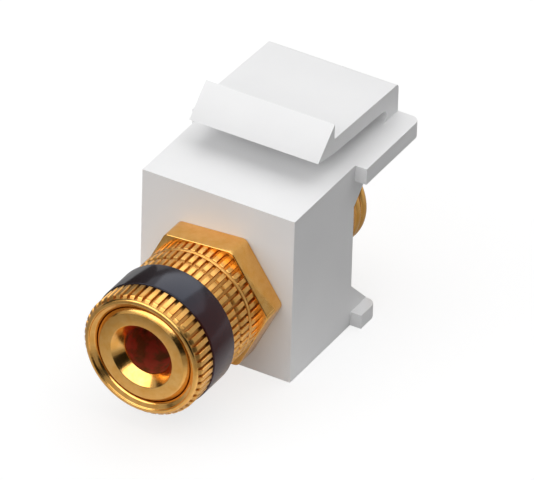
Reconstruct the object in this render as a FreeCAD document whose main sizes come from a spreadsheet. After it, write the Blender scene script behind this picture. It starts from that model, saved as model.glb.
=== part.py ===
import FreeCAD, Part
import math
import os
import Sketcher
from FreeCAD import Vector

# Snap-in binding post: a gold plated post with a knurled thumb nut and a dark
# colour band, fixed through a white module that snaps into a panel.
# Millimetres. +Z is up, +Y runs back into the module, +X is to the right seen from
# the front. The origin is on the post's axis, in the plane of the module's front face.

doc = FreeCAD.newDocument("bindingPost")
sheet = doc.addObject("Spreadsheet::Sheet", "Sizes")

DRIVING_SIZES = [
    ("bodyWidth", 14.5, "module box, across"),
    ("bodyHeight", 16.0, "module box, up and down"),
    ("bodyDepth", 9.86, "module box, front face to the panel stops"),
    ("axisHeight", 7.0, "post axis above the underside"),
    ("wallThick", 1.5, "side, top and bottom walls"),
    ("frontWall", 2.6, "front wall"),
    ("plateWidth", 16.7, "top plate with its two panel stops, across"),
    ("plateThick", 1.54, "top plate"),
    ("plateLength", 8.94, "panel stops to the rear edge of the top plate"),
    ("plateCorner", 0.8, "rear corners of the top plate and ledge, in plan"),
    ("ledgeWidth", 16.6, "bottom ledge with its two panel stops, across"),
    ("ledgeThick", 1.33, "bottom ledge"),
    ("ledgeLength", 2.55, "bottom ledge behind the panel stops"),
    ("gussetSize", 2.6, "legs of the triangular gussets"),
    ("bossRadius", 5.0, "boss round the shank"),
    ("ribThick", 1.2, "ribs that hold the boss"),
    ("shankPlay", 0.1, "radial play of the shank in the module and the washers"),
    ("armWidth", 12.3, "latch arm, across"),
    ("armThick", 1.45, "latch arm"),
    ("armRise", 0.48, "rise of the arm from its rear end to the wedge"),
    ("riserThick", 1.9, "web that carries the arm"),
    ("archRadius", 0.62, "inside radius of the bend under the arm"),
    ("armCorner", 0.4, "outer corner of the bend"),
    ("panelGap", 1.67, "panel stops to the back of the wedge"),
    ("wedgeHeight", 1.45, "catch face of the wedge"),
    ("wedgeLength", 2.62, "wedge, ridge to nose"),
    ("noseHeight", 2.15, "nose edge above the module's top"),
    ("knuckleRadius", 0.75, "root of the arm, where the web bends"),
    ("knucklePlay", 0.05, "play round the root of the arm"),
    ("pivotRise", 0.1, "bending axis above the centre of the arch"),
    ("shoulderGap", 0.3, "web below the shoulder of the arm"),
    ("hexAcross", 11.08, "hex flange, across flats"),
    ("hexThick", 2.4, "hex flange"),
    ("hexTurn", 4.5, "hex flange, degrees turned from corners at the sides"),
    ("hexEdge", 0.35, "rounding of the hex corners"),
    ("collarRadius", 5.47, "knurled collar on the flange"),
    ("collarLength", 1.0, "knurled collar"),
    ("screwRadius", 4.38, "front thread, outside"),
    ("screwPlay", 0.07, "radial play of the thumb nut on the post"),
    ("postFront", 11.97, "front end of the post ahead of the module"),
    ("socketRadius", 2.15, "banana plug socket"),
    ("socketFlare", 2.92, "socket countersink, outside"),
    ("flareDepth", 1.0, "socket countersink"),
    ("socketEnd", 3.0, "end of the socket behind the module's front face"),
    ("drillPoint", 118.0, "point of the drill that cut the socket, in degrees"),
    ("wireHoleRadius", 1.5, "cross hole for bare wire"),
    ("shankRadius", 3.0, "rear thread, outside"),
    ("shankEnd", 18.2, "rear end of the post"),
    ("endChamfer", 0.4, "rear end of the post"),
    ("frontChamfer", 0.38, "front end of the post"),
    ("runGap", 0.03, "running gap at faces that move apart"),
    ("clampThick", 0.33, "clamp washer"),
    ("rearKnurl", 2.84, "rear knurled length of the thumb nut"),
    ("rearKnurlRadius", 5.47, "rear knurled length, over the teeth"),
    ("bandLength", 3.27, "colour band"),
    ("bandRadius", 5.72, "colour band, outside"),
    ("bandSeat", 4.95, "seat of the colour band"),
    ("bandPlay", 0.02, "colour band on its seat"),
    ("bandEdge", 0.12, "edge of the colour band"),
    ("frontKnurl", 1.6, "front knurled length, up to the lip"),
    ("frontKnurlRadius", 5.63, "front knurled length, over the teeth"),
    ("lipLength", 0.6, "rounded lip in front of the knurl"),
    ("lipRadius", 5.12, "inner end of the lip's rounding"),
    ("lipCurve", 1.0, "rounding of the lip"),
    ("lipCrest", 4.98, "where the lip falls away towards the post"),
    ("lipDish", 0.5, "fall of the lip towards the post"),
    ("rowGroove", 0.36, "groove between the two rear rows, across"),
    ("rowGrooveDepth", 0.24, "groove between the two rear rows"),
    ("rowSplit", 1.33, "rear face of the nut to the groove's middle"),
    ("teethCount", 48, "teeth round each knurl"),
    ("frontToothDepth", 0.43, "front knurl"),
    ("rearToothDepth", 0.32, "rear knurl and collar"),
    ("toothFoot", 0.11, "half the width of a tooth gap at its foot"),
    ("toothMouth", 0.2, "half the width of a tooth gap at the crown"),
    ("flatWasherRadius", 5.4, "flat washer"),
    ("flatWasherThick", 0.6, "flat washer"),
    ("lockWasherRadius", 4.9, "spring washer"),
    ("lockWasherThick", 0.8, "spring washer"),
    ("lockSlit", 0.5, "slit of the spring washer"),
    ("nutAcross", 9.0, "mounting nut, across flats"),
    ("nutThick", 3.0, "mounting nut"),
    ("nutTurn", 8.0, "mounting nut, degrees turned"),
    ("nutPlay", 0.05, "radial play of the rear nuts on the thread"),
    ("nutBevel", 30.0, "degrees of the mounting nut's corner bevel"),
    ("nutFaceShare", 0.97, "round face of the mounting nut, as a share of its flats"),
    ("terminalWasherRadius", 4.7, "terminal washer"),
    ("terminalWasherThick", 0.5, "terminal washer"),
    ("terminalNutRadius", 4.85, "terminal nut, over its two beads"),
    ("terminalNutNeck", 4.4, "terminal nut, between the beads"),
    ("beadLength", 0.95, "each bead of the terminal nut"),
    ("driverSlotWidth", 1.0, "driver slot of the terminal nut"),
    ("driverSlotDepth", 0.7, "driver slot of the terminal nut"),
]
for number, (alias, value, note) in enumerate(DRIVING_SIZES, start=1):
    sheet.set(f"A{number}", alias)
    sheet.set(f"B{number}", str(value))
    sheet.set(f"C{number}", note)
    sheet.setAlias(f"B{number}", alias)
doc.recompute()

# A cut reaches this many times as far as the edge that it has to clear
PAST_EDGE = 1.1

# Places worked out from the driving sizes, along Y unless said otherwise
PLATE_TOP = "(Sizes.bodyHeight - Sizes.axisHeight)"
PLATE_REAR = "(Sizes.bodyDepth + Sizes.plateLength)"
UNDERSIDE = "(-Sizes.axisHeight)"
ARCH_Z = f"({PLATE_TOP} + Sizes.archRadius)"
RISER_FRONT = f"({PLATE_REAR} - Sizes.riserThick)"
PIVOT_Y = f"({PLATE_REAR} - Sizes.riserThick / 2)"
PIVOT_Z = f"({ARCH_Z} + Sizes.pivotRise)"
COLLAR_FRONT = "(-Sizes.hexThick - Sizes.collarLength)"
CLAMP_REAR = f"({COLLAR_FRONT} - Sizes.runGap)"
CLAMP_FRONT = f"({CLAMP_REAR} - Sizes.clampThick)"
NUT_REAR = f"({CLAMP_FRONT} - Sizes.runGap)"
BAND_REAR = f"({NUT_REAR} - Sizes.rearKnurl)"
BAND_FRONT = f"({BAND_REAR} - Sizes.bandLength)"
LIP_START = f"({BAND_FRONT} - Sizes.frontKnurl)"
NUT_FRONT = f"({LIP_START} - Sizes.lipLength)"
NUT_BORE = "(Sizes.screwRadius + Sizes.screwPlay)"
WASHER_BORE = "(Sizes.shankRadius + Sizes.shankPlay)"
REAR_BORE = "(Sizes.shankRadius + Sizes.nutPlay)"
FLAT_WASHER_REAR = "(Sizes.bodyDepth + Sizes.flatWasherThick)"
LOCK_WASHER_REAR = f"({FLAT_WASHER_REAR} + Sizes.lockWasherThick)"
MOUNTING_NUT_REAR = f"({LOCK_WASHER_REAR} + Sizes.nutThick)"
TERMINAL_WASHER_FRONT = f"({MOUNTING_NUT_REAR} + Sizes.runGap)"
TERMINAL_WASHER_REAR = f"({TERMINAL_WASHER_FRONT} + Sizes.terminalWasherThick)"
TERMINAL_NUT_FRONT = f"({TERMINAL_WASHER_REAR} + Sizes.runGap)"
TERMINAL_NUT_REAR = f"({TERMINAL_NUT_FRONT} + 2 * Sizes.beadLength)"


def valueOf(expression):
    """Present value of a sheet expression, in millimetres or degrees."""
    return float(sheet.evalExpression(expression))


def originPart(body, role):
    """Origin plane or axis of a body, found by its role."""
    return [part for part in body.Origin.OriginFeatures if part.Role == role][0]


def newBody(name):
    """New body whose label names its node."""
    body = doc.addObject("PartDesign::Body", name)
    body.Label = name
    body.Placement = FreeCAD.Placement()
    return body


def newSketch(body, name, role, offset=None):
    """Sketch on an origin plane of the body, moved along the plane's normal."""
    sketch = body.newObject("Sketcher::SketchObject", name)
    sketch.AttachmentSupport = [(originPart(body, role), "")]
    sketch.MapMode = "FlatFace"
    if offset is not None:
        sketch.setExpression("AttachmentOffset.Base.z", offset)
    return sketch


def holdValue(sketch, constraint, expression):
    """Adds a constraint that follows a sheet expression."""
    index = sketch.addConstraint(constraint)
    sketch.setExpression(f"Constraints[{index}]", expression)


def holdPoint(sketch, geometry, end, across, up):
    """Ties one point of a sketch to two sheet expressions."""
    for expression, kind, axis in ((across, "DistanceX", -2), (up, "DistanceY", -1)):
        if expression == "0":
            sketch.addConstraint(Sketcher.Constraint("PointOnObject", geometry, end, axis))
        else:
            limit = Sketcher.Constraint(kind, -1, 1, geometry, end, valueOf(expression))
            holdValue(sketch, limit, expression)


def arcBetween(start, end, radius, left):
    """Arc from start to end; left says that it turns left. Returns it with its end numbers."""
    chord = end - start
    middle = (start + end) * 0.5
    side = Vector(-chord.y, chord.x, 0).normalize() * (1 if left else -1)
    centre = middle + side * math.sqrt(max(radius ** 2 - (chord.Length / 2) ** 2, 0))
    first, last = (start, end) if left else (end, start)
    angles = [math.atan2(point.y - centre.y, point.x - centre.x) for point in (first, last)]
    circle = Part.Circle(centre, Vector(0, 0, 1), radius)
    numbers = (1, 2) if left else (2, 1)
    return Part.ArcOfCircle(circle, angles[0], angles[1]), numbers


def drawOutline(sketch, corners, arcs=None):
    """Closed outline through the corners. arcs gives, for the edge that leaves a corner,
    its radius and whether it turns left."""
    arcs = arcs or {}
    points = [Vector(valueOf(across), valueOf(up), 0) for across, up in corners]
    ends = []
    for index, start in enumerate(points):
        end = points[(index + 1) % len(points)]
        if index in arcs:
            radius, left = arcs[index]
            edge, numbers = arcBetween(start, end, valueOf(radius), left)
        else:
            edge, numbers = Part.LineSegment(start, end), (1, 2)
        sketch.addGeometry(edge)
        ends.append(numbers)
    for index in range(len(points)):
        following = (index + 1) % len(points)
        meet = Sketcher.Constraint("Coincident", index, ends[index][1], following, ends[following][0])
        sketch.addConstraint(meet)
    for index, (across, up) in enumerate(corners):
        holdPoint(sketch, index, ends[index][0], across, up)
    for index, (radius, left) in arcs.items():
        holdValue(sketch, Sketcher.Constraint("Radius", index, valueOf(radius)), radius)


def drawRectangle(sketch, left, right, low, high):
    """Closed rectangle between four sheet expressions."""
    drawOutline(sketch, [(left, low), (right, low), (right, high), (left, high)])


def drawCircle(sketch, across, up, radius):
    """Circle with its centre and radius tied to the sheet."""
    centre = Vector(valueOf(across), valueOf(up), 0)
    sketch.addGeometry(Part.Circle(centre, Vector(0, 0, 1), valueOf(radius)))
    holdPoint(sketch, 0, 3, across, up)
    holdValue(sketch, Sketcher.Constraint("Radius", 0, valueOf(radius)), radius)


def extrude(body, kind, name, sketch, length=None, reverse=False, centred=False):
    """Pad or Pocket of a sketch. With no length it goes right through."""
    feature = body.newObject(f"PartDesign::{kind}", name)
    feature.Profile = sketch
    if length is None:
        feature.Type = "ThroughAll"
    else:
        feature.setExpression("Length", length)
    feature.Reversed = reverse
    feature.Midplane = centred
    return feature


def turn(body, kind, name, corners, arcs=None):
    """Revolution or Groove about Y of an outline given as radius and place along Y."""
    sketch = newSketch(body, name + "Outline", "XY_Plane")
    drawOutline(sketch, corners, arcs)
    feature = body.newObject(f"PartDesign::{kind}", name)
    feature.Profile = sketch
    feature.ReferenceAxis = (sketch, ["V_Axis"])
    feature.Angle = 360
    return feature


def turnedRing(name, inner, outer, front, rear):
    """Plain ring about Y in a body of its own."""
    body = newBody(name)
    turn(body, "Revolution", name + "Turned", [(inner, front), (outer, front), (outer, rear), (inner, rear)])
    return body


def hexCorners(across, turned):
    """Six corners of a hexagon of the given size across flats."""
    corners = []
    for step in range(6):
        angle = f"(({turned} + {60 * step}) * 1 deg)"
        radius = f"{across} / 2 / cos(30 deg)"
        corners.append((f"({radius} * cos{angle})", f"({radius} * sin{angle})"))
    return corners


def roundEdges(body, name, radius, wanted):
    """Fillet of the tip's edges that the test picks."""
    doc.recompute()
    base = body.Tip
    picked = [f"Edge{n}" for n, edge in enumerate(base.Shape.Edges, start=1) if wanted(edge)]
    fillet = body.newObject("PartDesign::Fillet", name)
    fillet.Base = (base, picked)
    fillet.setExpression("Radius", radius)
    return fillet


def cutTeeth(body, name, front, rear, crown, depth):
    """Straight knurl: tooth gaps cut between two places along Y, repeated round the axis."""
    sketch = newSketch(body, name + "Gap", "XZ_Plane", f"-{front}")
    foot = f"({crown} - {depth})"
    over = f"({crown} + {depth})"
    flare = "(2 * Sizes.toothMouth - Sizes.toothFoot)"
    corners = [("-Sizes.toothFoot", foot), ("Sizes.toothFoot", foot), (flare, over), (f"-{flare}", over)]
    drawOutline(sketch, corners)
    pocket = extrude(body, "Pocket", name + "Cut", sketch, f"({rear} - {front})")
    doc.recompute()
    pattern = body.newObject("PartDesign::PolarPattern", name)
    pattern.Originals = [pocket]
    pattern.Axis = (originPart(body, "Y_Axis"), [""])
    pattern.Angle = 360
    pattern.setExpression("Occurrences", "Sizes.teethCount")
    body.Tip = pattern
    doc.recompute()
    return pattern


# Moulded module: box open at the rear, top plate and ledge with the panel stops, boss
def makeHousing():
    body = newBody("housing")
    half = "Sizes.bodyWidth / 2"
    sketch = newSketch(body, "boxFace", "XZ_Plane")
    drawRectangle(sketch, f"-{half}", half, UNDERSIDE, PLATE_TOP)
    extrude(body, "Pad", "box", sketch, "Sizes.bodyDepth", reverse=True)

    inner = f"({half} - Sizes.wallThick)"
    depth = "(Sizes.bodyDepth - Sizes.frontWall)"
    sketch = newSketch(body, "cavityFace", "XZ_Plane", "-Sizes.frontWall")
    floor = f"({UNDERSIDE} + Sizes.wallThick)"
    roof = f"({PLATE_TOP} - Sizes.wallThick)"
    drawRectangle(sketch, f"-{inner}", inner, floor, roof)
    extrude(body, "Pocket", "cavity", sketch, depth)

    plateFoot = f"({PLATE_TOP} - Sizes.plateThick)"
    ledgeRear = "(Sizes.bodyDepth + Sizes.ledgeLength)"
    for name, width, low, thick, rear in (
        ("topPlate", "Sizes.plateWidth", plateFoot, "Sizes.plateThick", PLATE_REAR),
        ("ledge", "Sizes.ledgeWidth", UNDERSIDE, "Sizes.ledgeThick", ledgeRear),
    ):
        sketch = newSketch(body, name + "Plan", "XY_Plane", low)
        wide = f"{width} / 2"
        corner = "Sizes.plateCorner"
        outline = [
            (f"-{wide}", "Sizes.bodyDepth"),
            (wide, "Sizes.bodyDepth"),
            (wide, f"({rear} - {corner})"),
            (f"({wide} - {corner})", rear),
            (f"-({wide} - {corner})", rear),
            (f"-{wide}", f"({rear} - {corner})"),
        ]
        drawOutline(sketch, outline, {2: (corner, True), 4: (corner, True)})
        extrude(body, "Pad", name, sketch, thick)

    sketch = newSketch(body, "bossFace", "XZ_Plane", "-Sizes.frontWall")
    drawCircle(sketch, "0", "0", "Sizes.bossRadius")
    extrude(body, "Pad", "boss", sketch, depth, reverse=True)
    rib = "Sizes.ribThick / 2"
    ribSides = {
        "sideRibs": (f"-{inner}", inner, f"-{rib}", rib),
        "uprightRibs": (f"-{rib}", rib, floor, roof),
    }
    for name, sides in ribSides.items():
        sketch = newSketch(body, name + "Face", "XZ_Plane", "-Sizes.frontWall")
        drawRectangle(sketch, *sides)
        extrude(body, "Pad", name, sketch, depth, reverse=True)

    # gussets behind the side walls, down to the ledge and up to the top plate
    start = "Sizes.bodyDepth"
    reach = "(Sizes.bodyDepth + Sizes.gussetSize)"
    low = f"({UNDERSIDE} + Sizes.ledgeThick)"
    triangles = {
        "lower": [(start, low), (reach, low), (start, f"({low} + Sizes.gussetSize)")],
        "upper": [(start, plateFoot), (start, f"({plateFoot} - Sizes.gussetSize)"), (reach, plateFoot)],
    }
    wallMiddle = f"({half} - Sizes.wallThick / 2)"
    for place, corners in triangles.items():
        for side, offset in (("Left", f"-{wallMiddle}"), ("Right", wallMiddle)):
            sketch = newSketch(body, f"{place}Gusset{side}Side", "YZ_Plane", offset)
            drawOutline(sketch, corners)
            extrude(body, "Pad", f"{place}Gusset{side}", sketch, "Sizes.wallThick", centred=True)

    # foot of the latch's web, with the hollow that the arm's root turns in
    sketch = newSketch(body, "webSide", "YZ_Plane")
    foot = f"({PLATE_TOP} - Sizes.plateThick / 2)"
    outline = [
        (f"({RISER_FRONT} - Sizes.archRadius)", foot),
        (PLATE_REAR, foot),
        (PLATE_REAR, ARCH_Z),
        (RISER_FRONT, ARCH_Z),
        (f"({RISER_FRONT} - Sizes.archRadius)", PLATE_TOP),
    ]
    drawOutline(sketch, outline, {3: ("Sizes.archRadius", False)})
    extrude(body, "Pad", "web", sketch, "Sizes.armWidth", centred=True)
    sketch = newSketch(body, "rootHollowSide", "YZ_Plane")
    drawCircle(sketch, PIVOT_Y, PIVOT_Z, "(Sizes.knuckleRadius + Sizes.knucklePlay)")
    extrude(body, "Pocket", "rootHollow", sketch, "Sizes.armWidth", centred=True)

    sketch = newSketch(body, "shankHoleFace", "XZ_Plane")
    drawCircle(sketch, "0", "0", WASHER_BORE)
    extrude(body, "Pocket", "shankHole", sketch)
    return body


# Latch arm with its wedge, which springs down while the module is pushed into a panel
def makeLatchArm():
    body = newBody("latch_arm")
    top = f"({ARCH_Z} + Sizes.archRadius + Sizes.armThick)"
    wedge = "(Sizes.bodyDepth - Sizes.panelGap)"
    wedgeFoot = f"({top} + Sizes.armRise)"
    slope = f"(Sizes.armRise / ({PLATE_REAR} - {wedge}))"
    shoulder = f"({ARCH_Z} + Sizes.shoulderGap)"
    curl = "sqrt(Sizes.archRadius ^ 2 - Sizes.shoulderGap ^ 2)"
    outline = [
        (PLATE_REAR, shoulder),
        (PLATE_REAR, f"({top} - Sizes.armCorner)"),
        (f"({PLATE_REAR} - Sizes.armCorner)", f"({top} + Sizes.armCorner * {slope})"),
        (wedge, wedgeFoot),
        (wedge, f"({wedgeFoot} + Sizes.wedgeHeight)"),
        (f"({wedge} - Sizes.wedgeLength)", f"({PLATE_TOP} + Sizes.noseHeight)"),
        (wedge, f"({wedgeFoot} - Sizes.armThick)"),
        (f"({RISER_FRONT} - Sizes.archRadius)", f"({ARCH_Z} + Sizes.archRadius)"),
        (f"({RISER_FRONT} - Sizes.archRadius + {curl})", shoulder),
        (f"({PIVOT_Y} - Sizes.knuckleRadius)", shoulder),
        (f"({PIVOT_Y} - Sizes.knuckleRadius)", PIVOT_Z),
        (PIVOT_Y, f"({PIVOT_Z} - Sizes.knuckleRadius)"),
        (f"({PIVOT_Y} + Sizes.knuckleRadius)", PIVOT_Z),
        (f"({PIVOT_Y} + Sizes.knuckleRadius)", shoulder),
    ]
    arcs = {
        1: (f"(Sizes.armCorner * tan(45 deg + atan({slope}) / 2))", True),
        7: ("Sizes.archRadius", False),
        10: ("Sizes.knuckleRadius", True),
        11: ("Sizes.knuckleRadius", True),
    }
    sketch = newSketch(body, "armSide", "YZ_Plane")
    drawOutline(sketch, outline, arcs)
    extrude(body, "Pad", "arm", sketch, "Sizes.armWidth", centred=True)
    return body


# Post, turned from hexagon bar: front thread, knurled collar, flange, shank, then the
# socket and the wire hole
def makePostBody():
    body = newBody("post_body")
    front = "(-Sizes.postFront)"
    outline = [
        ("0", front),
        ("(Sizes.screwRadius - Sizes.frontChamfer)", front),
        ("Sizes.screwRadius", f"({front} + Sizes.frontChamfer)"),
        ("Sizes.screwRadius", COLLAR_FRONT),
        ("Sizes.collarRadius", COLLAR_FRONT),
        ("Sizes.collarRadius", "0"),
        ("Sizes.shankRadius", "0"),
        ("Sizes.shankRadius", "(Sizes.shankEnd - Sizes.endChamfer)"),
        ("(Sizes.shankRadius - Sizes.endChamfer)", "Sizes.shankEnd"),
        ("0", "Sizes.shankEnd"),
    ]
    turn(body, "Revolution", "postTurned", outline)
    flangeFront = "(-Sizes.hexThick)"
    cutTeeth(body, "collarTeeth", COLLAR_FRONT, flangeFront, "Sizes.collarRadius", "Sizes.rearToothDepth")
    sketch = newSketch(body, "flangeFace", "XZ_Plane")
    drawOutline(sketch, hexCorners("Sizes.hexAcross", "Sizes.hexTurn"))
    extrude(body, "Pad", "flange", sketch, "Sizes.hexThick")
    outside = (valueOf("Sizes.hexAcross") / 2 + valueOf("Sizes.collarRadius")) / 2

    def isHexCorner(edge):
        ends = [vertex.Point for vertex in edge.Vertexes]
        level = len(ends) == 2 and abs(abs(ends[0].y - ends[1].y) - edge.Length) < 1e-6
        return level and min(math.hypot(point.x, point.z) for point in ends) > outside

    roundEdges(body, "flangeCorners", "Sizes.hexEdge", isHexCorner)
    socket = [
        ("0", "(Sizes.socketEnd + Sizes.socketRadius / tan(Sizes.drillPoint / 2 * 1 deg))"),
        ("Sizes.socketRadius", "Sizes.socketEnd"),
        ("Sizes.socketRadius", f"({front} + Sizes.flareDepth)"),
        ("Sizes.socketFlare", front),
        ("0", front),
    ]
    turn(body, "Groove", "socket", socket)
    sketch = newSketch(body, "wireHoleSide", "YZ_Plane")
    drawCircle(sketch, f"({NUT_REAR} - Sizes.wireHoleRadius)", "0", "Sizes.wireHoleRadius")
    extrude(body, "Pocket", "wireHole", sketch, "(2 * Sizes.collarRadius)", centred=True)
    return body


# Thumb nut: knurled lip at the front, seat for the band, two knurled rows at the rear
def makeThumbNut():
    body = newBody("thumb_nut")
    groove = f"({NUT_REAR} - Sizes.rowSplit)"
    outline = [
        (NUT_BORE, NUT_REAR),
        (NUT_BORE, f"({NUT_FRONT} + Sizes.lipDish)"),
        ("Sizes.lipCrest", NUT_FRONT),
        ("Sizes.lipRadius", NUT_FRONT),
        ("Sizes.frontKnurlRadius", LIP_START),
        ("Sizes.frontKnurlRadius", BAND_FRONT),
        ("Sizes.bandSeat", BAND_FRONT),
        ("Sizes.bandSeat", BAND_REAR),
        ("Sizes.rearKnurlRadius", BAND_REAR),
        ("Sizes.rearKnurlRadius", f"({groove} - Sizes.rowGroove / 2)"),
        ("(Sizes.rearKnurlRadius - Sizes.rowGrooveDepth)", groove),
        ("Sizes.rearKnurlRadius", f"({groove} + Sizes.rowGroove / 2)"),
        ("Sizes.rearKnurlRadius", NUT_REAR),
    ]
    turn(body, "Revolution", "nutTurned", outline, {3: ("Sizes.lipCurve", True)})
    cutTeeth(body, "frontTeeth", NUT_FRONT, BAND_FRONT, "Sizes.frontKnurlRadius", "Sizes.frontToothDepth")
    cutTeeth(body, "rearTeeth", BAND_REAR, NUT_REAR, "Sizes.rearKnurlRadius", "Sizes.rearToothDepth")
    return body


# Plastic colour band, sprung into its seat on the thumb nut
def makeColourBand():
    body = newBody("colour_band")
    seat = "(Sizes.bandSeat + Sizes.bandPlay)"
    edge = "Sizes.bandEdge"
    outline = [
        (seat, BAND_FRONT),
        (f"(Sizes.bandRadius - {edge})", BAND_FRONT),
        ("Sizes.bandRadius", f"({BAND_FRONT} + {edge})"),
        ("Sizes.bandRadius", f"({BAND_REAR} - {edge})"),
        (f"(Sizes.bandRadius - {edge})", BAND_REAR),
        (seat, BAND_REAR),
    ]
    turn(body, "Revolution", "bandTurned", outline, {1: (edge, True), 3: (edge, True)})
    return body


# Spring washer with its slit
def makeLockWasher():
    front = FLAT_WASHER_REAR
    rear = LOCK_WASHER_REAR
    body = turnedRing("lock_washer", WASHER_BORE, "Sizes.lockWasherRadius", front, rear)
    sketch = newSketch(body, "slitPlan", "XY_Plane")
    half = "Sizes.lockSlit / 2"
    outline = [(f"-{half}", front), (half, front), (f"(3 * {half})", rear), (half, rear)]
    drawOutline(sketch, outline)
    extrude(body, "Pocket", "slit", sketch, f"({PAST_EDGE} * Sizes.lockWasherRadius)", reverse=True)
    return body


# Hexagon nut that holds the post in the module, corners bevelled at both faces
def makeMountingNut():
    body = newBody("mounting_nut")
    sketch = newSketch(body, "nutFace", "XZ_Plane", f"-{LOCK_WASHER_REAR}")
    drawOutline(sketch, hexCorners("Sizes.nutAcross", "Sizes.nutTurn"))
    extrude(body, "Pad", "nutBlank", sketch, "Sizes.nutThick", reverse=True)
    sketch = newSketch(body, "nutBoreFace", "XZ_Plane", f"-{LOCK_WASHER_REAR}")
    drawCircle(sketch, "0", "0", REAR_BORE)
    extrude(body, "Pocket", "nutBore", sketch)
    rim = "(Sizes.nutFaceShare * Sizes.nutAcross / 2)"
    over = f"({PAST_EDGE} * Sizes.nutAcross / 2 / cos(30 deg))"
    fall = f"(({over} - {rim}) * tan(Sizes.nutBevel * 1 deg))"
    for name, face, sign in (("frontBevel", LOCK_WASHER_REAR, "+"), ("rearBevel", MOUNTING_NUT_REAR, "-")):
        turn(body, "Groove", name, [(rim, face), (over, face), (over, f"({face} {sign} {fall})")])
    return body


# Round terminal nut with two beads and a driver slot
def makeTerminalNut():
    body = newBody("terminal_nut")
    swell = "(Sizes.terminalNutRadius - Sizes.terminalNutNeck)"
    bead = f"(((Sizes.beadLength / 2) ^ 2 + {swell} ^ 2) / (2 * {swell}))"
    outline = [
        (REAR_BORE, TERMINAL_NUT_REAR),
        (REAR_BORE, TERMINAL_NUT_FRONT),
        ("Sizes.terminalNutNeck", TERMINAL_NUT_FRONT),
        ("Sizes.terminalNutNeck", f"({TERMINAL_NUT_FRONT} + Sizes.beadLength)"),
        ("Sizes.terminalNutNeck", TERMINAL_NUT_REAR),
    ]
    turn(body, "Revolution", "terminalNutTurned", outline, {2: (bead, True), 3: (bead, True)})
    sketch = newSketch(body, "driverSlotFace", "XZ_Plane", f"-({TERMINAL_NUT_REAR} - Sizes.driverSlotDepth)")
    half = "Sizes.driverSlotWidth / 2"
    long = f"({PAST_EDGE} * Sizes.terminalNutRadius)"
    drawRectangle(sketch, f"-{half}", half, f"-{long}", long)
    extrude(body, "Pocket", "driverSlot", sketch, "Sizes.driverSlotDepth")
    return body


def makeTerminalWasher():
    radius = "Sizes.terminalWasherRadius"
    return turnedRing("terminal_washer", WASHER_BORE, radius, TERMINAL_WASHER_FRONT, TERMINAL_WASHER_REAR)


nodes = [
    makeHousing(),
    makeLatchArm(),
    makePostBody(),
    turnedRing("clamp_washer", NUT_BORE, "Sizes.collarRadius", CLAMP_FRONT, CLAMP_REAR),
    makeThumbNut(),
    makeColourBand(),
    turnedRing("flat_washer", WASHER_BORE, "Sizes.flatWasherRadius", "Sizes.bodyDepth", FLAT_WASHER_REAR),
    makeLockWasher(),
    makeMountingNut(),
    makeTerminalWasher(),
    makeTerminalNut(),
]
doc.recompute()

faults = []
for item in doc.Objects:
    if "Invalid" in item.State or "Error" in item.State:
        faults.append(f"{item.Label}: {item.State}")
for node in nodes:
    if node.Shape.isNull() or not node.Shape.isValid():
        faults.append(f"{node.Label}: shape is null or not valid")
    elif len(node.Shape.Solids) != 1:
        faults.append(f"{node.Label}: {len(node.Shape.Solids)} solids")
if faults:
    raise RuntimeError("; ".join(faults))

os.makedirs("parts", exist_ok=True)
for node in nodes:
    node.Shape.exportStep(f"parts/{node.Label}.step")
    box = node.Shape.BoundBox
    spans = [(round(low, 2), round(high, 2)) for low, high in (
        (box.XMin, box.XMax), (box.YMin, box.YMax), (box.ZMin, box.ZMax))]
    print(node.Label, "volume", round(node.Shape.Volume, 2), "box", spans)
print("latch bends about y", round(valueOf(PIVOT_Y), 3), "z", round(valueOf(PIVOT_Z), 3))
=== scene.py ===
import math

import bmesh
import bpy
from mathutils import Matrix, Vector
from mathutils.geometry import interpolate_bezier


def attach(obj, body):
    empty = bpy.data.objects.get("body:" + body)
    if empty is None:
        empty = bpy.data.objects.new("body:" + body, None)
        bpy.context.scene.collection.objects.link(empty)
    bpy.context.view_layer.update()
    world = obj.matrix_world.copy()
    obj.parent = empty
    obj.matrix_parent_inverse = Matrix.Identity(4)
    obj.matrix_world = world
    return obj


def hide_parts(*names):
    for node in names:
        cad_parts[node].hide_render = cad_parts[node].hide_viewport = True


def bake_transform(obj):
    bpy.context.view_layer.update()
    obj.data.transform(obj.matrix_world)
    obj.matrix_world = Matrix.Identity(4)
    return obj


# Snap-in binding post. Sizes are in millimetres here; finishPiece makes them metres.
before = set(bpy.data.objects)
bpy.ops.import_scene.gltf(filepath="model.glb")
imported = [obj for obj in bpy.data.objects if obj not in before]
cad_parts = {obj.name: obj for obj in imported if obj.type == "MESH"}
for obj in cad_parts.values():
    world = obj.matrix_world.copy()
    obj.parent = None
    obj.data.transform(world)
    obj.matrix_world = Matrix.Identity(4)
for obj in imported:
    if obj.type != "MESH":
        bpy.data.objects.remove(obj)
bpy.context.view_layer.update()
scene = bpy.context.scene
millimetre = 0.001
mergeDistance = 1e-4
sliverSize = 1e-3  # what the cutters leave where surfaces meet at a grazing angle

view = {
    "azimuth": 29.566,
    "elevation": 34.412,
    "roll": 1.602,
    "distance": 887.59,
    "aim": (4.5297, 0.2927, 6.1089),  # the point in the middle of the picture
    "lens": 731.17,
    "sensor": 36,
}

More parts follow.
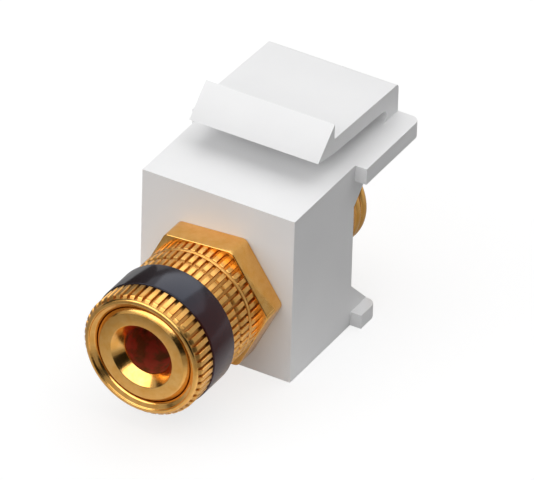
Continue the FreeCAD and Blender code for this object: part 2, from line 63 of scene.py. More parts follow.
cameraData = bpy.data.cameras.new("camera")
cameraData.lens = view["lens"]
cameraData.sensor_fit = "HORIZONTAL"
cameraData.sensor_width = view["sensor"]
cameraData.clip_start = 0.05
cameraData.clip_end = 20
camera = bpy.data.objects.new("camera", cameraData)
scene.collection.objects.link(camera)
scene.camera = camera
turned = (
    Matrix.Rotation(math.radians(view["azimuth"]), 4, "Z")
    @ Matrix.Rotation(math.radians(90 - view["elevation"]), 4, "X")
    @ Matrix.Rotation(math.radians(view["roll"]), 4, "Z")
)
back = turned.to_3x3() @ Vector((0, 0, view["distance"]))
camera.matrix_world = Matrix.Translation((Vector(view["aim"]) + back) * millimetre) @ turned
scene.view_settings.view_transform = "Standard"
print("camera placed")


# Materials: a socket that can be added, multiplied and so on, like a number
class Wire:
    def __init__(self, tree, socket=None):
        self.tree = tree
        self.socket = socket

    def add(self, kind, settings=None, values=None, out=0):
        node = self.tree.nodes.new(kind)
        for name, value in (settings or {}).items():
            if name == "stops":
                ramp = node.color_ramp.elements
                for position, _ in value[1:-1]:
                    ramp.new(position)
                for stop, (position, colour) in zip(ramp, value):
                    stop.position = position
                    stop.color = colour
            else:
                setattr(node, name, value)
        for name, value in (values or {}).items():
            if isinstance(value, Wire):
                self.tree.links.new(value.socket, node.inputs[name])
            else:
                node.inputs[name].default_value = value
        return Wire(self.tree, node.outputs[out] if node.outputs else None)

    def maths(self, operation, *values):
        return self.add("ShaderNodeMath", {"operation": operation}, dict(enumerate(values)))

    def __add__(self, other):
        return self.maths("ADD", self, other)

    def __radd__(self, other):
        return self.maths("ADD", other, self)

    def __sub__(self, other):
        return self.maths("SUBTRACT", self, other)

    def __rsub__(self, other):
        return self.maths("SUBTRACT", other, self)

    def __mul__(self, other):
        return self.maths("MULTIPLY", self, other)

    def __rmul__(self, other):
        return self.maths("MULTIPLY", other, self)

    def __pow__(self, other):
        return self.maths("POWER", self, other)

    def clipped(self, low, high):
        return self.add("ShaderNodeMapRange", {}, {"Value": self, "From Min": low, "From Max": high})

    # Colours: between two of them, one on top of another, and greys by position
    def blended(self, first, second):
        first, second = (end if isinstance(end, Wire) else (*end, 1) for end in (first, second))
        values = {"Factor": self, "A": first, "B": second}
        return self.add("ShaderNodeMix", {"data_type": "RGBA"}, values, out="Result")

    def brightened(self, other):
        values = {"Factor": 1, "A": self, "B": other}
        return self.add("ShaderNodeMix", {"data_type": "RGBA", "blend_type": "ADD"}, values, out="Result")

    def ramped(self, greys):
        stops = [(position, (grey, grey, grey, 1)) for position, grey in greys]
        return self.add("ShaderNodeValToRGB", {"stops": stops}, {0: self}, out="Color")


def newMaterial(name):
    material = bpy.data.materials.new(name)
    material.use_nodes = True
    tree = material.node_tree
    tree.nodes.clear()
    wire = Wire(tree)
    coordinates = wire.add("ShaderNodeTexCoord", out="Object")
    scaled = wire.add("ShaderNodeMapping", {}, {"Vector": coordinates, "Scale": (1000, 1000, 1000)})
    return material, wire, scaled


def noiseOn(wire, vector, scale, detail=2, roughness=0.5):
    values = {"Vector": vector, "Scale": scale, "Detail": detail, "Roughness": roughness}
    return wire.add("ShaderNodeTexNoise", {}, values, out="Fac")


def parted(wire, vector):
    split = wire.add("ShaderNodeSeparateXYZ", {}, {"Vector": vector})
    return [Wire(wire.tree, split.socket.node.outputs[axis]) for axis in "XYZ"]


def bumpOn(wire, height, distance):
    return wire.add("ShaderNodeBump", {}, {"Strength": 1, "Distance": distance, "Height": height})


def closeMaterial(wire, values, kind="ShaderNodeBsdfPrincipled"):
    shader = wire.add(kind, {}, values)
    wire.add("ShaderNodeOutputMaterial", {}, {"Surface": shader})


goldFinish = {
    "bright": (0.93, 0.53, 0.165),
    "deep": (0.86, 0.44, 0.105),
    "gap": (0.52, 0.25, 0.065),  # painted shade: darker between the knurls' teeth and between the terminal nut's beads
    "socket": (0.9, 0.022, 0.075),  # painted shade and painted bounce light: duller and redder inside the socket
    "roughness": 0.14,
    "knurlRoughness": 0.16,  # more in the pressed knurls
    "ringScale": 9.0,
    "ringHeight": 1.6e-6,
    "cloudScale": 1.3,
    "speckScale": 7.0,
    "socketShadeScale": 0.8,
    "socketShadeDark": 0.25,  # share of the socket's colour in its painted dark patches
    # where the colours change: radius, or place along Y
    "socketWall": 2.17,
    "socketAlong": (-11, 5),
    "knurlFoot": 4.9,
    "knurlAlong": (-11.9, -2.4),
    "crown": 5.43,
    "frontCrown": 0.16,  # more in front of the band
    "studRadius": 3.4,
    "beadCrest": 4.8,
    "beadAlong": (14.83, 16.7),
}


def makeGold(finish):
    material, wire, place = newMaterial("goldPlate")
    x, y, z = parted(wire, place)
    radius = (x * x + z * z) ** 0.5
    turning = wire.add("ShaderNodeCombineXYZ", {}, {"X": radius, "Y": y})
    rings = noiseOn(wire, turning, finish["ringScale"], detail=3, roughness=0.7)
    cloud = noiseOn(wire, place, finish["cloudScale"], detail=4, roughness=0.6)
    specks = noiseOn(wire, place, finish["speckScale"], detail=2)
    plating = cloud.clipped(0.35, 0.65).blended(finish["deep"], finish["bright"])
    # painted shade: the inside of the socket is painted dark red in patches, standing in for shade and light
    # bounced between its gold walls
    front, rear = finish["socketAlong"]
    shadedSocket = (finish["socketWall"] - radius).clipped(0, 0.03) * (y - front).clipped(0, 0.2)
    shadedSocket = shadedSocket * (rear - y).clipped(0, 0.3)
    front, rear = finish["knurlAlong"]
    knurls = (radius - finish["knurlFoot"]).clipped(0, 0.15) * (rear - y).clipped(0, 0.05)
    knurls = knurls * (y - front).clipped(0, 0.15)
    # painted shade: where shade falls, in the knurls' gaps and the terminal nut's bead valleys, the darker
    # gap colour is painted
    crown = finish["crown"] + finish["frontCrown"] * (-9 - y).clipped(0, 0.5)
    front, rear = finish["beadAlong"]
    beads = (y - front).clipped(0, 0.02) * (rear - y).clipped(0, 0.02)
    beads = beads * (radius - finish["studRadius"]).clipped(0, 0.1)
    gaps = knurls * (crown - radius).clipped(0, 0.2) + beads * (finish["beadCrest"] - radius).clipped(0, 0.25)
    dark = [finish["socketShadeDark"] * share for share in finish["socket"]]
    patches = noiseOn(wire, place, finish["socketShadeScale"], detail=3).clipped(0.42, 0.6)
    socketShade = patches.blended(dark, finish["socket"])
    rough = finish["roughness"] + (rings - 0.5) * 0.12 + cloud * 0.08
    closeMaterial(wire, {
        "Metallic": 1 - shadedSocket * 0.5,
        "Base Color": shadedSocket.blended(gaps.blended(plating, finish["gap"]), socketShade),
        "Roughness": rough + shadedSocket * 0.25 + knurls * finish["knurlRoughness"],
        "Normal": bumpOn(wire, rings + specks * 0.35, finish["ringHeight"]),
    })
    return material


whiteFinish = {
    "bright": (0.87, 0.87, 0.872),
    "dull": (0.845, 0.845, 0.85),
    "roughness": 0.36,
    "ior": 1.5,
    "flowScale": 0.16,
    "grainScale": 5.0,
    "grainHeight": 2.5e-6,
}


def makeWhite(finish):
    material, wire, place = newMaterial("whitePlastic")
    flow = noiseOn(wire, place, finish["flowScale"], detail=3)
    grain = noiseOn(wire, place, finish["grainScale"], detail=4, roughness=0.6)
    closeMaterial(wire, {
        "IOR": finish["ior"],
        "Base Color": flow.clipped(0.3, 0.7).blended(finish["dull"], finish["bright"]),
        "Roughness": finish["roughness"] + grain * 0.1 + flow * 0.06,
        "Normal": bumpOn(wire, grain, finish["grainHeight"]),
    })
    return material


bandFinish = {
    "dark": (0.015, 0.009, 0.010),
    "light": (0.019, 0.012, 0.013),
    "paintedReflection": (0.05, 0.009, 0.005),  # painted red reflection, towards +X
    "paintedReflectionAcross": (3.2, 6),
    "roughness": 0.1,
    "ior": 1.47,
    "tint": (0.66, 0.77, 1, 1),  # of its reflections
    "flowScale": 0.8,
    "grainScale": 6.0,
    "grainHeight": 1.2e-6,
}


def makeBand(finish):
    material, wire, place = newMaterial("darkPlastic")
    flow = noiseOn(wire, place, finish["flowScale"], detail=2)
    grain = noiseOn(wire, place, finish["grainScale"], detail=3)
    across = parted(wire, place)[0] + flow * 1.5
    body = flow.blended(finish["dark"], finish["light"])
    closeMaterial(wire, {
        "IOR": finish["ior"],
        "Specular Tint": finish["tint"],
        # painted reflection: the band's base colour turns red towards +X
        "Base Color": across.clipped(*finish["paintedReflectionAcross"]).blended(body, finish["paintedReflection"]),
        "Roughness": finish["roughness"] + flow * 0.06 + grain * 0.04,
        "Normal": bumpOn(wire, grain, finish["grainHeight"]),
    })
    return material


goldPlate = makeGold(goldFinish)
whitePlastic = makeWhite(whiteFinish)
darkPlastic = makeBand(bandFinish)
print("materials made")


# Mesh helpers. A corner is (across, up) or (across, up, rounding).
def outline(corners, across, up, segments=4):
    bm = bmesh.new()
    points = [bm.verts.new(Vector(across) * corner[0] + Vector(up) * corner[1]) for corner in corners]
    bm.faces.new(points)
    roundings = {}
    for point, corner in zip(points, corners):
        if len(corner) > 2:
            roundings.setdefault(corner[2], []).append(point)
    for amount, chosen in roundings.items():
        bmesh.ops.bevel(bm, geom=chosen, offset=amount, offset_type="OFFSET", affect="VERTICES",
                        segments=segments, profile=0.5, material=-1, clamp_overlap=True)
    return bm


def lathe(corners, steps=128, segments=4):
    bm = outline(corners, (1, 0, 0), (0, 1, 0), segments)
    bmesh.ops.delete(bm, geom=bm.faces[:], context="FACES_ONLY")
    bmesh.ops.spin(bm, geom=bm.verts[:] + bm.edges[:], cent=(0, 0, 0), axis=(0, 1, 0),
                   angle=math.tau, steps=steps, use_merge=True)
    bmesh.ops.remove_doubles(bm, verts=bm.verts[:], dist=mergeDistance)
    bmesh.ops.recalc_face_normals(bm, faces=bm.faces[:])
    return bm


def extruded(bm, reach):
    grown = bmesh.ops.extrude_face_region(bm, geom=bm.faces[:])["geom"]
    moved = [item for item in grown if isinstance(item, bmesh.types.BMVert)]
    bmesh.ops.translate(bm, verts=moved, vec=reach)
    bmesh.ops.recalc_face_normals(bm, faces=bm.faces[:])
    return bm


def prism(radius, front, rear, corners, turn=0):
    bm = bmesh.new()
    place = (
        Matrix.Translation((0, front, 0))
        @ Matrix.Rotation(math.radians(90), 4, "X")
        @ Matrix.Rotation(math.radians(turn - 90), 4, "Z")
    )
    bmesh.ops.create_circle(bm, cap_ends=True, segments=corners, radius=radius, matrix=place)
    return extruded(bm, (0, rear - front, 0))


def block(low, high):
    bm = bmesh.new()
    size = Vector(high) - Vector(low)
    middle = (Vector(high) + Vector(low)) / 2
    bmesh.ops.create_cube(bm, size=1, matrix=Matrix.Translation(middle) @ Matrix.Diagonal((*size, 1)))
    return bm


def bevelEdges(bm, edges, width, segments=2):
    bmesh.ops.bevel(bm, geom=edges, offset=width, offset_type="OFFSET", affect="EDGES",
                    segments=segments, profile=0.5, material=-1, clamp_overlap=True)


def lengthwise(bm):
    return [edge for edge in bm.edges if abs(edge.verts[0].co.y - edge.verts[1].co.y) > 1]


def hexCorner(across):
    return across / 2 / math.cos(math.radians(30))


def sharpEdges(bm, limit=30):
    return [edge for edge in bm.edges if len(edge.link_faces) == 2
            and edge.calc_face_angle() > math.radians(limit)]


def asObject(bm):
    bmesh.ops.recalc_face_normals(bm, faces=bm.faces[:])
    mesh = bpy.data.meshes.new("work")
    bm.to_mesh(mesh)
    bm.free()
    holder = bpy.data.objects.new("work", mesh)
    scene.collection.objects.link(holder)
    return holder


def carve(bm, other, operation="DIFFERENCE"):
    target, tool = asObject(bm), asObject(other)
    modifier = target.modifiers.new("carve", "BOOLEAN")
    modifier.operation = operation
    modifier.solver = "EXACT"
    modifier.object = tool
    evaluated = target.evaluated_get(bpy.context.evaluated_depsgraph_get())
    result = bpy.data.meshes.new_from_object(evaluated)
    joined = bmesh.new()
    joined.from_mesh(result)
    meshes = [result, target.data, tool.data]
    for holder in (target, tool):
        bpy.data.objects.remove(holder)
    for mesh in meshes:
        bpy.data.meshes.remove(mesh)
    bmesh.ops.remove_doubles(joined, verts=joined.verts[:], dist=mergeDistance)
    return joined


def finishPiece(name, bm, material, nodes, body=None, sharp=28):
    bmesh.ops.remove_doubles(bm, verts=bm.verts[:], dist=sliverSize)
    bmesh.ops.dissolve_degenerate(bm, dist=mergeDistance, edges=bm.edges[:])
    bmesh.ops.recalc_face_normals(bm, faces=bm.faces[:])
    if bm.calc_volume(signed=True) < 0:
        bmesh.ops.reverse_faces(bm, faces=bm.faces[:])
    bmesh.ops.triangulate(bm, faces=[face for face in bm.faces if len(face.verts) > 4])
    openEdges = sum(1 for edge in bm.edges if not edge.is_manifold)
    bmesh.ops.scale(bm, vec=(millimetre,) * 3, verts=bm.verts[:])
    mesh = bpy.data.meshes.new(name)
    bm.to_mesh(mesh)
    triangles = sum(len(face.verts) - 2 for face in bm.faces)
    bm.free()
    mesh.shade_smooth()
    mesh.set_sharp_from_angle(angle=math.radians(sharp))
    mesh.materials.append(material)
    piece = bpy.data.objects.new(name, mesh)
    scene.collection.objects.link(piece)
    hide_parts(*nodes)
    if body:
        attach(piece, body)
    print(name, "triangles", triangles, "open edges", openEdges)
    return piece


def finishGold(name, bm, node, body):
    return finishPiece(name, bm, goldPlate, [node], body)


# Module and latch arm: one moulding, so one skin, cut across at the foot of the arm's web where the arm bends
module = {
    "halfWidth": 7.25,
    "low": -7.0,
    "top": 9.0,
    "depth": 9.86,
    "wall": 1.5,
    "frontWall": 2.6,
    "plateHalf": 8.35,
    "plateLow": 7.46,
    "plateRear": 18.8,
    "ledgeHalf": 8.3,
    "ledgeTop": -5.67,
    "ledgeRear": 12.41,
    "plateCorner": 0.8,
    "gusset": 2.6,
    "bossRadius": 5.0,
    "rib": 0.6,
    "shankHole": 3.1,
    "armHalf": 6.15,
    "edge": 0.11,
    "overlap": 0.2,  # how far one form is sunk in the next
    "bendFrom": 9.05,
    "bendTo": 10.2,
    "bendBack": 0.95,  # of the web's rear face
    # side view of the web, the arm and the wedge: along Y, up, rounding
    "armSide": [
        (15.9, 8.2), (18.8, 8.2), (18.8, 11.69, 0.4), (8.19, 12.17), (8.19, 13.62), (5.57, 11.15),
        (8.19, 10.72), (16.28, 10.24), (16.9, 10.24, 0.6), (16.9, 9.0, 0.6), (15.9, 9.0),
    ],
}


def plate(half, low, top, front, rear, corner):
    corners = [(-half, front), (half, front), (half, rear, corner), (-half, rear, corner)]
    bm = outline(corners, (1, 0, 0), (0, 1, 0), segments=6)
    bmesh.ops.translate(bm, verts=bm.verts[:], vec=(0, 0, low))
    return extruded(bm, (0, 0, top - low))


def makeModuleSkin(sizes):
    half, low, top, depth = sizes["halfWidth"], sizes["low"], sizes["top"], sizes["depth"]
    wall, inner = sizes["wall"], sizes["halfWidth"] - sizes["wall"]
    bm = block((-half, 0, low), (half, depth, top))
    bm = carve(bm, block((-inner, sizes["frontWall"], low + wall), (inner, depth + 1, top - wall)))
    overlap, rib = sizes["overlap"], sizes["rib"]
    seat = sizes["frontWall"] - overlap
    bm = carve(bm, prism(sizes["bossRadius"], seat, depth, 96), "UNION")
    across, floor, ceiling = inner + overlap, low + wall - overlap, top - wall + overlap
    bm = carve(bm, block((-across, seat, -rib), (across, depth, rib)), "UNION")
    bm = carve(bm, block((-rib, seat, floor), (rib, depth, ceiling)), "UNION")
    bm = carve(bm, plate(sizes["plateHalf"], sizes["plateLow"], top, depth, sizes["plateRear"],
                         sizes["plateCorner"]), "UNION")
    bm = carve(bm, plate(sizes["ledgeHalf"], low, sizes["ledgeTop"], depth, sizes["ledgeRear"],
                         sizes["plateCorner"]), "UNION")
    leg = sizes["gusset"]
    for foot, rise in ((sizes["ledgeTop"], leg), (sizes["plateLow"], -leg)):
        for side in (-1, 1):
            sunk = depth - 0.3
            sideView = [(sunk, foot), (depth + leg, foot), (depth, foot + rise), (sunk, foot + rise)]
            gusset = outline(sideView, (0, 1, 0), (0, 0, 1))
            start = -half if side < 0 else inner
            bmesh.ops.translate(gusset, verts=gusset.verts[:], vec=(start, 0, 0))
            bm = carve(bm, extruded(gusset, (wall, 0, 0)), "UNION")
    arm = outline(sizes["armSide"], (0, 1, 0), (0, 0, 1), segments=6)
    bmesh.ops.translate(arm, verts=arm.verts[:], vec=(-sizes["armHalf"], 0, 0))
    bm = carve(bm, extruded(arm, (2 * sizes["armHalf"], 0, 0)), "UNION")
    bm = carve(bm, prism(sizes["shankHole"], -1, depth + 1, 96))
    bmesh.ops.dissolve_limit(bm, angle_limit=math.radians(0.4), verts=bm.verts[:], edges=bm.edges[:])
    bevelEdges(bm, sharpEdges(bm, 32), sizes["edge"], segments=2)
    heights = [sizes["bendFrom"] + (sizes["bendTo"] - sizes["bendFrom"]) * step / 5 for step in range(6)]
    for height in heights:
        everything = bm.verts[:] + bm.edges[:] + bm.faces[:]
        bmesh.ops.bisect_plane(bm, geom=everything, plane_co=(0, 0, height), plane_no=(0, 0, 1))
    return bm


moduleSkin = finishPiece("moduleSkin", makeModuleSkin(module), whitePlastic,
                         ["housing", "latch_arm"], sharp=20)
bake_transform(moduleSkin)
print("module made")


# Straight knurl: a lathed shape with six steps to a tooth, gaps pressed into the zones
knurl = {
    "teeth": 48,
    "foot": 1.2,  # degrees from the middle of a gap
    "mouth": 1.62,
    "crown": 1.82,
    "soft": 0.1,  # share of the depth at the mouth
}


def knurled(corners, zones, sizes, segments=4):
    points = 6
    bm = lathe(corners, steps=sizes["teeth"] * points, segments=segments)
    pitch = 360 / sizes["teeth"]
    places = [(-sizes["foot"], 1), (sizes["foot"], 1), (sizes["mouth"], sizes["soft"]),
              (sizes["crown"], 0), (pitch - sizes["crown"], 0), (pitch - sizes["mouth"], sizes["soft"])]
    for vertex in bm.verts:
        radius = math.hypot(vertex.co.x, vertex.co.z)
        if radius < 1e-4:
            continue
        step = round(math.degrees(math.atan2(vertex.co.z, vertex.co.x)) / pitch * points)
        turn, share = places[step % points]
        angle = math.radians(step // points * pitch + turn)
        for front, rear, crown, depth in zones:
            if front - 1e-4 <= vertex.co.y <= rear + 1e-4 and share:
                radius = min(radius, crown - depth * share)
        vertex.co.x = radius * math.cos(angle)
        vertex.co.z = radius * math.sin(angle)
    return bm


# One turn after another of a thread's ridge, faded at both ends
thread = {
    "pitch": 1.0,
    "steps": 48,
    "inward": 0.12,  # the ridge starts inside the wall
    # half widths of the ridge, as shares of the pitch
    "foot": 0.46,
    "root": 0.43,
    "crest": 0.07,
}


def threadRidge(root, crest, front, rear):
    pitch, steps, inward = thread["pitch"], thread["steps"], thread["inward"]
    bm = bmesh.new()
    foot = root - inward
    section = [
        (foot, -thread["foot"]), (foot, thread["foot"]), (root, thread["root"]),
        (crest, thread["crest"]), (crest, -thread["crest"]), (root, -thread["root"]),
    ]
    points = [bm.verts.new((radius, front + (0.5 + along) * pitch, 0)) for radius, along in section]
    bm.faces.new(points)
    turns = (rear - front) / pitch - 1
    total = max(int(turns * steps), steps)
    bmesh.ops.spin(bm, geom=bm.faces[:] + bm.edges[:] + bm.verts[:], cent=(0, 0, 0), axis=(0, 1, 0),
                   dvec=(0, pitch * turns / total, 0), angle=math.tau * turns, steps=total)
    for vertex in bm.verts:
        radius = math.hypot(vertex.co.x, vertex.co.z)
        turn = math.atan2(-vertex.co.z, vertex.co.x) / math.tau
        fade = min(1, (vertex.co.y - front) / pitch, (rear - vertex.co.y) / pitch)
        if fade < 1 and radius > root - inward / 2:
            wanted = foot + max(fade, 0.05) * (radius - foot)
            vertex.co.x *= wanted / radius
            vertex.co.z *= wanted / radius
    bmesh.ops.recalc_face_normals(bm, faces=bm.faces[:])
    return bm


post = {
    "front": -11.97,
    "screw": 4.38,
    "screwRoot": 3.77,
    "chamfer": 0.38,
    "plain": 1.1,  # the front end has no thread
    "runOut": 0.5,
    "collar": 5.47,
    "collarFront": -3.4,
    "flangeFront": -2.4,
    "toothDepth": 0.27,
    "overlap": 0.1,
    "core": 4.47,  # inside the hexagon
    "hexAcross": 11.08,
    "hexTurn": 4.5,
    "hexEdge": 0.35,
    "hexRim": 0.09,
    "shank": 3.0,
    "shankRoot": 2.39,
    "shankEnd": 18.2,
    "socket": 2.15,
    "flare": 2.92,
    "flareDepth": 1.0,
    "socketEnd": 3.0,
    "socketTip": 4.26,
    "wireHole": 1.5,
    "wireHoleY": -5.29,
}


def makePost(sizes):
    front, screw, root = sizes["front"], sizes["screw"], sizes["screwRoot"]
    collarRear = sizes["flangeFront"] + sizes["overlap"]
    corners = [
        (0, sizes["socketTip"]),
        (sizes["socket"], sizes["socketEnd"]),
        (sizes["socket"], front + sizes["flareDepth"], 0.05),
        (sizes["flare"], front, 0.04),
        (screw - sizes["chamfer"], front, 0.05),
        (screw, front + sizes["chamfer"], 0.05),
        (screw, front + sizes["plain"], 0.1),
        (root, front + sizes["plain"] + sizes["runOut"]),
        (root, sizes["collarFront"]),
        (sizes["collar"], sizes["collarFront"], 0.1),
        (sizes["collar"], collarRear),
        (sizes["core"], collarRear),
        (sizes["core"], -0.5),
        (sizes["shankRoot"], -0.5),
        (sizes["shankRoot"], sizes["shankEnd"] - 0.1),
        (sizes["shankRoot"] - 0.15, sizes["shankEnd"]),
        (0, sizes["shankEnd"]),
    ]
    zone = (sizes["collarFront"], collarRear, sizes["collar"], sizes["toothDepth"])
    bm = knurled(corners, [zone], knurl, segments=3)
    hexagon = prism(hexCorner(sizes["hexAcross"]), sizes["flangeFront"], 0, 6, sizes["hexTurn"])
    bevelEdges(hexagon, lengthwise(hexagon), sizes["hexEdge"], segments=5)
    bevelEdges(hexagon, sharpEdges(hexagon, 60), sizes["hexRim"], segments=3)
    bm = carve(bm, hexagon, "UNION")
    screwRidge = threadRidge(root, screw, front + sizes["plain"] + 0.2, sizes["collarFront"] - 0.2)
    bm = carve(bm, screwRidge, "UNION")
    shankRidge = threadRidge(sizes["shankRoot"], sizes["shank"], -0.3, sizes["shankEnd"] + 0.1)
    bm = carve(bm, shankRidge, "UNION")
    hole = prism(sizes["wireHole"], -8, 8, 64)
    quarter = Matrix.Rotation(math.radians(90), 3, "Z")
    bmesh.ops.rotate(hole, cent=(0, 0, 0), matrix=quarter, verts=hole.verts[:])
    bmesh.ops.translate(hole, verts=hole.verts[:], vec=(0, sizes["wireHoleY"], 0))
    return carve(bm, hole)


finishGold("post", makePost(post), "post_body", "module")
print("post made")


clampWasher = {"bore": 4.45, "radius": 5.47, "front": -3.76, "rear": -3.43, "edge": 0.08}


def makeRing(sizes, steps=144, segments=3):
    edge = sizes["edge"]
    corners = [
        (sizes["bore"], sizes["front"], edge), (sizes["radius"], sizes["front"], edge),
        (sizes["radius"], sizes["rear"], edge), (sizes["bore"], sizes["rear"], edge),
    ]
    return lathe(corners, steps, segments)


finishGold("clampWasher", makeRing(clampWasher), "clamp_washer", "clamp")


thumbNut = {
    "bore": 4.45,
    "threadRoot": 4.7,
    "front": -12.10,
    "lipEnd": -11.88,
    "crownStart": -11.62,
    "lipRadius": 5.12,
    "lipCrest": 4.98,
    "lipDish": 0.5,
    "frontRadius": 5.63,
    "frontDepth": 0.28,
    "bandFront": -9.9,
    "bandRear": -6.63,
    "bandSeat": 4.95,
    "rearRadius": 5.47,
    "rearDepth": 0.27,
    "groove": -5.12,
    "grooveHalf": 0.2,
    "grooveFloor": 0.11,
    "grooveDepth": 0.22,
    "rear": -3.79,
}


def makeThumbNut(sizes):
    crown, rearCrown, groove = sizes["frontRadius"], sizes["rearRadius"], sizes["groove"]
    floor = crown - sizes["frontDepth"]
    start = Vector((sizes["lipRadius"], sizes["front"], 0))
    end = Vector((floor, sizes["lipEnd"], 0))
    bow = interpolate_bezier(start, start + Vector((0.12, 0.02, 0)), end + Vector((-0.03, -0.12, 0)), end, 7)
    corners = [
        (sizes["bore"], sizes["rear"], 0.08),
        (sizes["bore"], sizes["front"] + sizes["lipDish"], 0.05),
        (sizes["bore"] + 0.16, sizes["front"] + 0.32, 0.05),
        (sizes["lipCrest"] - 0.06, sizes["front"] + 0.14, 0.04),
        (sizes["lipCrest"], sizes["front"], 0.05),
        *[(point.x, point.y) for point in bow],
        (crown, sizes["crownStart"], 0.1),
        (crown, sizes["bandFront"], 0.08),
        (sizes["bandSeat"], sizes["bandFront"]),
        (sizes["bandSeat"], sizes["bandRear"]),
        (rearCrown, sizes["bandRear"], 0.08),
        (rearCrown, groove - sizes["grooveHalf"], 0.06),
        (rearCrown - sizes["grooveDepth"], groove - sizes["grooveFloor"], 0.05),
        (rearCrown - sizes["grooveDepth"], groove + sizes["grooveFloor"], 0.05),
        (rearCrown, groove + sizes["grooveHalf"], 0.06),
        (rearCrown, sizes["rear"], 0.13),
    ]
    zones = [
        (sizes["front"], sizes["bandFront"], crown, sizes["frontDepth"]),
        (sizes["bandRear"], sizes["rear"], rearCrown, sizes["rearDepth"]),
    ]
    bm = knurled(corners, zones, knurl, segments=3)
    ridge = threadRidge(sizes["bore"], sizes["threadRoot"], sizes["front"] + 1.6, sizes["rear"] + 0.6)
    return carve(bm, ridge)


finishGold("thumbNut", makeThumbNut(thumbNut), "thumb_nut", "thumb")
colourBand = {"bore": 4.97, "radius": 5.72, "front": -9.9, "rear": -6.63, "edge": 0.12}
finishPiece("colourBand", makeRing(colourBand, steps=192, segments=4), darkPlastic,
            ["colour_band"], "thumb")
print("thumb nut made")


flatWasher = {"bore": 3.1, "radius": 5.4, "front": 9.86, "rear": 10.46, "edge": 0.1}
finishGold("flatWasher", makeRing(flatWasher), "flat_washer", "module")

lockWasher = {"bore": 3.1, "radius": 4.9, "front": 10.46, "rear": 11.26, "edge": 0.09, "slit": 0.5}


def makeLockWasher(sizes):
    half, front, rear = sizes["slit"] / 2, sizes["front"], sizes["rear"]
    slant = [(-half, front - 0.1), (half, front - 0.1), (3 * half, rear + 0.1), (half, rear + 0.1)]
    slit = outline(slant, (1, 0, 0), (0, 1, 0))
    return carve(makeRing(sizes), extruded(slit, (0, 0, sizes["radius"] + 1)))


finishGold("lockWasher", makeLockWasher(lockWasher), "lock_washer", "module")

mountingNut = {"across": 9.0, "front": 11.26, "rear": 14.26, "turn": 8.0, "bore": 3.05, "sink": 3.4,
               "sinkDepth": 0.35, "face": 0.97, "bevel": 30, "edge": 0.08}


def makeMountingNut(sizes):
    corner = hexCorner(sizes["across"])
    face = sizes["across"] / 2 * sizes["face"]
    over = corner * 1.1
    fall = (over - face) * math.tan(math.radians(sizes["bevel"]))
    front, rear, deep = sizes["front"], sizes["rear"], sizes["sinkDepth"]
    blank = lathe([
        (sizes["bore"], front + deep), (sizes["sink"], front), (face, front, 0.05), (over, front + fall),
        (over, rear - fall), (face, rear, 0.05), (sizes["sink"], rear), (sizes["bore"], rear - deep),
    ], steps=144)
    hexagon = prism(corner, front - 1, rear + 1, 6, sizes["turn"])
    bevelEdges(hexagon, lengthwise(hexagon), sizes["edge"])
    return carve(blank, hexagon, "INTERSECT")


finishGold("mountingNut", makeMountingNut(mountingNut), "mounting_nut", "module")

terminalWasher = {"bore": 3.1, "radius": 4.7, "front": 14.29, "rear": 14.79, "edge": 0.09}
finishGold("terminalWasher", makeRing(terminalWasher), "terminal_washer", "terminal_clamp")

terminalNut = {"bore": 3.05, "sink": 3.35, "radius": 4.85, "neck": 4.4, "front": 14.82, "bead": 0.95,
               "sinkDepth": 0.3, "slot": 1.0, "slotDepth": 0.7}


def makeTerminalNut(sizes):
    front, neck, swell = sizes["front"], sizes["neck"], sizes["radius"] - sizes["neck"]
    beads = []
    for start in (front, front + sizes["bead"]):
        low, high = Vector((neck, start, 0)), Vector((neck, start + sizes["bead"], 0))
        side = Vector((swell * 4 / 3, 0, 0))
        beads += interpolate_bezier(low, low + side, high + side, high, 13)[:-1]
    rear = front + 2 * sizes["bead"]
    deep = sizes["sinkDepth"]
    corners = [(sizes["bore"], rear - deep), (sizes["bore"], front + deep), (sizes["sink"], front)]
    corners += [(point.x, point.y) for point in beads]
    corners += [(neck, rear), (sizes["sink"], rear)]
    half = sizes["slot"] / 2
    slot = block((-half, rear - sizes["slotDepth"], -8), (half, rear + 1, 8))
    return carve(lathe(corners, steps=144), slot)


finishGold("terminalNut", makeTerminalNut(terminalNut), "terminal_nut", "terminal")
print("rear nuts made")


# Stage: floor, lamps and world
studio = {
    "floorHeight": -7.01,
    "middle": (4, -6, 0),
    "reach": 100,
    # greys by distance, 1 at the reach: the floor's colour, a painted pool of light paler near the middle,
    # and the painted glow it gives in reflections
    "sheet": [(0.0, 0.86), (0.11, 0.86), (0.24, 0.3), (0.8, 0.12), (1.0, 0.12)],
    "behind": 0.32,  # painted light: how much paler the floor's colour gets behind the module's front
    "behindReach": 60,
    "mirrorGlow": [(0.0, 0.03), (0.05, 0.03), (0.08, 0.15), (0.14, 0.03), (0.3, 0.03), (1.0, 0.25)],
    "seenColour": 0.27,  # the camera's floor: this grey takes the shadow, and the lift makes it white
    "seenWhite": 1.03,
    "sky": [(0.0, 0.08), (0.5, 0.03), (0.62, 0.05), (0.75, 0.12), (1.0, 0.13)],  # from nadir to zenith
    "wall": 0.36,  # brightness of the pale wall behind on the right
    "wallToward": (0.5, 0.85),
    "wallFade": (0.15, 0.9),
    "lamps": [
        # azimuth, elevation, distance, width, height, power, lights diffusely, shows in reflections
        (-25, 42, 600, 1330, 840, 1.5, True, True),
        (-25, 18, 660, 1460, 920, 4.7, True, False),
        (-10, 60, 600, 1150, 330, 2.7, False, True),
        (180, 65, 600, 1000, 700, 1.4, True, True),
        (180, 70, 660, 1100, 770, 2.2, True, False),
        (190, 45, 630, 470, 300, 0.54, False, True),
    ],
    "cards": [
        # azimuth, distance, width, height
        (56, 90, 86, 55),
    ],
}


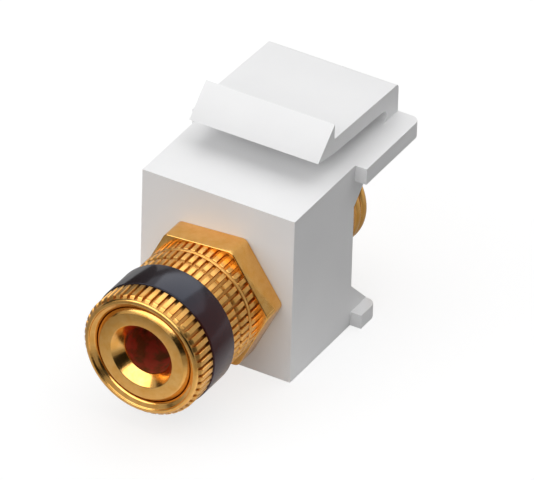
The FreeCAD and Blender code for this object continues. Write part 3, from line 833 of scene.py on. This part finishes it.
def makeFloor(settings):
    bm = bmesh.new()
    bmesh.ops.create_grid(bm, x_segments=1, y_segments=1, size=5)
    bmesh.ops.translate(bm, verts=bm.verts[:], vec=(0, 0, settings["floorHeight"] * millimetre))
    mesh = bpy.data.meshes.new("floor")
    bm.to_mesh(mesh)
    bm.free()
    floor = bpy.data.objects.new("floor", mesh)
    scene.collection.objects.link(floor)
    material, wire, place = newMaterial("floorPaper")
    centred = wire.add("ShaderNodeVectorMath", {"operation": "SUBTRACT"}, {0: place, 1: settings["middle"]})
    away = wire.add("ShaderNodeVectorMath", {"operation": "LENGTH"}, {0: centred}, out="Value")
    away = away.clipped(0, settings["reach"])
    path = wire.add("ShaderNodeLightPath").socket.node
    seen, glossy, through = (Wire(wire.tree, path.outputs[f"Is {ray} Ray"])
                             for ray in ("Camera", "Glossy", "Transmission"))
    mirrored = glossy.maths("MAXIMUM", glossy, through)
    # painted light: the floor's colour is a pool, pale near the middle and paler behind, and it glows in
    # reflections
    behind = parted(wire, place)[1].clipped(0, settings["behindReach"]) * settings["behind"]
    sheet = away.ramped(settings["sheet"]).brightened(behind)
    tone = seen.blended(sheet, [settings["seenColour"]] * 3)
    lift = settings["seenWhite"] - settings["seenColour"]
    light = seen * lift + mirrored * away.ramped(settings["mirrorGlow"])
    paper = wire.add("ShaderNodeBsdfDiffuse", {}, {"Color": tone})
    glow = wire.add("ShaderNodeEmission", {}, {"Strength": light})
    closeMaterial(wire, {0: paper, 1: glow}, "ShaderNodeAddShader")
    mesh.materials.append(material)


# Dark card that only reflections show, as a photographer stands one beside polished metal
def makeCard(azimuth, distance, width, height):
    bm = bmesh.new()
    bmesh.ops.create_grid(bm, x_segments=1, y_segments=1, size=0.5)
    place = (
        Matrix.Rotation(math.radians(azimuth), 4, "Z")
        @ Matrix.Translation((0, -distance, height / 2 + studio["floorHeight"]))
        @ Matrix.Rotation(math.radians(90), 4, "X")
        @ Matrix.Diagonal((width, height, 1, 1))
    )
    bmesh.ops.transform(bm, matrix=Matrix.Scale(millimetre, 4) @ place, verts=bm.verts[:])
    mesh = bpy.data.meshes.new("card")
    bm.to_mesh(mesh)
    bm.free()
    card = bpy.data.objects.new("card", mesh)
    scene.collection.objects.link(card)
    material, wire, place = newMaterial("cardPaper")
    black = noiseOn(wire, place, 0.5).blended((0.015,) * 3, (0.025,) * 3)
    closeMaterial(wire, {"Color": black}, "ShaderNodeBsdfDiffuse")
    mesh.materials.append(material)
    card.visible_camera = False
    card.visible_diffuse = False
    card.visible_shadow = False


def makeLamp(azimuth, elevation, distance, width, height, power, diffuse, glossy):
    data = bpy.data.lights.new("softbox", "AREA")
    data.shape = "RECTANGLE"
    data.size = width * millimetre
    data.size_y = height * millimetre
    data.energy = power
    lamp = bpy.data.objects.new("softbox", data)
    scene.collection.objects.link(lamp)
    lamp.matrix_world = (
        Matrix.Rotation(math.radians(azimuth), 4, "Z")
        @ Matrix.Rotation(math.radians(90 - elevation), 4, "X")
        @ Matrix.Translation((0, 0, distance * millimetre))
    )
    lamp.visible_camera = False
    lamp.visible_diffuse = diffuse
    lamp.visible_glossy = glossy


def makeWorld():
    world = bpy.data.worlds.new("studio")
    scene.world = world
    world.use_nodes = True
    tree = world.node_tree
    tree.nodes.clear()
    wire = Wire(tree)
    direction = wire.add("ShaderNodeTexCoord", out="Generated")
    across, along, up = parted(wire, direction)
    sky = (up * 0.5 + 0.5).ramped(studio["sky"])
    right, behind = studio["wallToward"]
    wall = (across * right + along * behind).clipped(*studio["wallFade"]) * studio["wall"]
    light = wire.add("ShaderNodeBackground", {}, {"Color": sky.brightened(wall), "Strength": 1})
    wire.add("ShaderNodeOutputWorld", {}, {"Surface": light})


makeFloor(studio)
for lamp in studio["lamps"]:
    makeLamp(*lamp)
for card in studio["cards"]:
    makeCard(*card)
makeWorld()
print("stage made")
